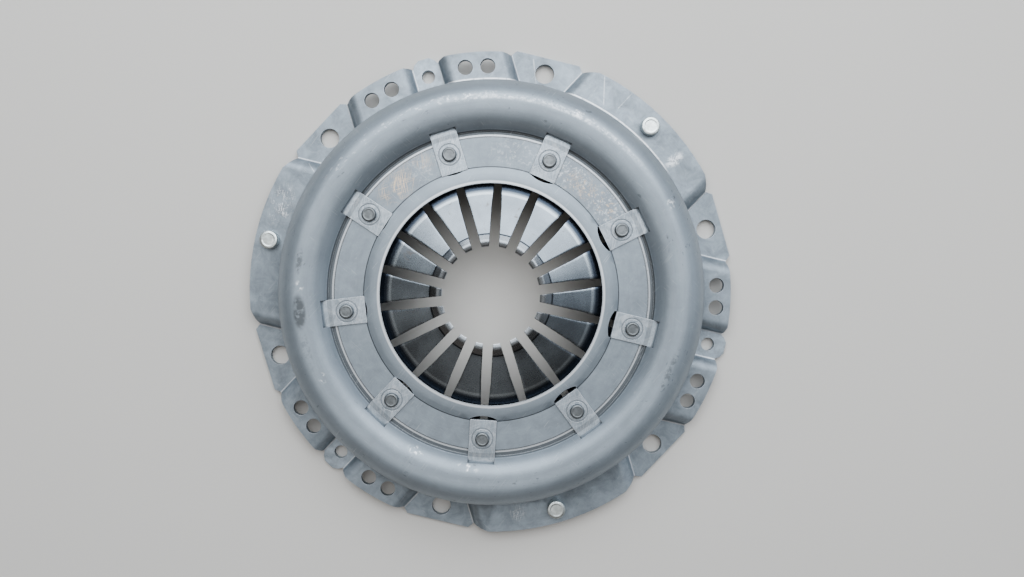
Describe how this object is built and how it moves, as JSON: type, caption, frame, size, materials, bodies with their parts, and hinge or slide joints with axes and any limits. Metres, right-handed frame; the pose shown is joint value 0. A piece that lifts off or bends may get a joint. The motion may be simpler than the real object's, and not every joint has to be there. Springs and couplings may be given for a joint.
{
  "type": "clutch pressure plate",
  "caption": "Diaphragm-spring clutch pressure plate: pressed steel cover with stepped bolting flange, slotted spring fingers, riveted fulcrum rings, strapped cast plate.",
  "frame": {"origin": "centre of the bolt circle, on the mounting face of the flange pads", "axes": "+Z along the turning axis, away from the flywheel towards the gearbox; +X and +Y in the mounting face, the first dowel hole lies 106.4 degrees from +X towards +Y"},
  "size_m": [0.2271, 0.2278, 0.0325],
  "materials": {
    "painted_steel": "satin blue-grey paint with fine scratches",
    "blued_spring_steel": "dark glossy heat-blued steel",
    "cast_iron": "turned grey iron",
    "bright_zinc": "bright zinc plate",
    "rivet_steel": "dull plain steel",
    "strap_steel": "satin spring strip"
  },
  "bodies": {
    "cover_assembly": {"cover": "painted_steel", "diaphragm_spring": "blued_spring_steel", "fulcrum_ring_front": "rivet_steel", "fulcrum_ring_rear": "rivet_steel", "fulcrum_rivet_1": "rivet_steel", "fulcrum_rivet_2": "rivet_steel", "fulcrum_rivet_3": "rivet_steel", "fulcrum_rivet_4": "rivet_steel", "fulcrum_rivet_5": "rivet_steel", "fulcrum_rivet_6": "rivet_steel", "fulcrum_rivet_7": "rivet_steel", "fulcrum_rivet_8": "rivet_steel", "fulcrum_rivet_9": "rivet_steel", "strap_1_leaf_a": "strap_steel", "strap_1_leaf_b": "strap_steel", "strap_1_leaf_c": "strap_steel", "strap_2_leaf_a": "strap_steel", "strap_2_leaf_b": "strap_steel", "strap_2_leaf_c": "strap_steel", "strap_3_leaf_a": "strap_steel", "strap_3_leaf_b": "strap_steel", "strap_3_leaf_c": "strap_steel", "strap_flange_rivet_1": "bright_zinc", "strap_flange_rivet_2": "bright_zinc", "strap_flange_rivet_3": "bright_zinc"},
    "plate_assembly": {"pressure_plate": "cast_iron", "strap_lug_rivet_1": "rivet_steel", "strap_lug_rivet_2": "rivet_steel", "strap_lug_rivet_3": "rivet_steel", "retractor_clip_1": "strap_steel", "retractor_clip_2": "strap_steel", "retractor_clip_3": "strap_steel"}
  },
  "joints": [
    {"name": "plate_lift", "type": "slide", "parent": "cover_assembly", "child": "plate_assembly", "axis": [0, 0, 1], "range_m": [0, 0.0038], "stiffness_N_per_m": 20000, "springref_m": -0.001, "deforming": ["diaphragm_spring", "strap_1_leaf_a", "strap_1_leaf_b", "strap_1_leaf_c", "strap_2_leaf_a", "strap_2_leaf_b", "strap_2_leaf_c", "strap_3_leaf_a", "strap_3_leaf_b", "strap_3_leaf_c"]}
  ]
}
